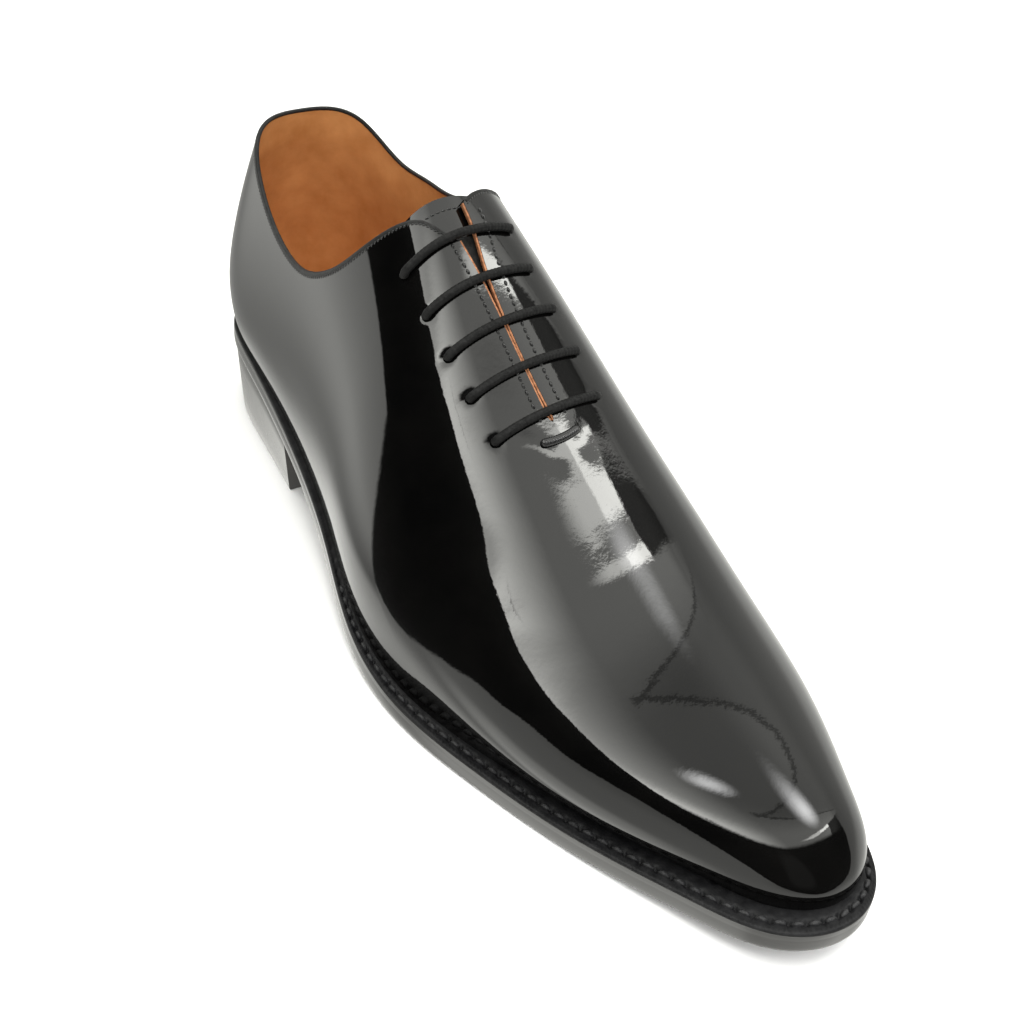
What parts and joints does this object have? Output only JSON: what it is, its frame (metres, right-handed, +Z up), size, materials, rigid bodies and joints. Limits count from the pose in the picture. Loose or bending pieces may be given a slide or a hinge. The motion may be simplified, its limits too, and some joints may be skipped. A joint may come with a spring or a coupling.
{
  "type": "oxford shoe",
  "caption": "Black patent leather wholecut oxford for the right foot: hollow upper with straight lacing over a tongue, full welt, leather outsole and block heel, standing on its sole.",
  "frame": {"origin": "on the floor, under the middle of the shoe's bounding box", "axes": "+X from heel to toe, +Y toward the inner side of the foot, +Z up"},
  "size_m": [0.305, 0.1003, 0.117],
  "materials": {
    "outsole": "black dyed leather with a waxed, polished edge",
    "welt": "matte black leather strip",
    "insole": "plain tan leather",
    "heel": "black, polished smooth",
    "upper": "black patent leather, mirror gloss",
    "tongue": "black patent leather, mirror gloss",
    "lace": "black waxed round cord"
  },
  "bodies": {
    "root": {"outsole": "outsole", "welt": "welt", "insole": "insole", "heel": "heel", "upper": "upper", "tongue": "tongue", "lace_bar_1": "lace", "lace_bar_2": "lace", "lace_bar_3": "lace", "lace_bar_4": "lace", "lace_bar_5": "lace"}
  },
  "joints": []
}
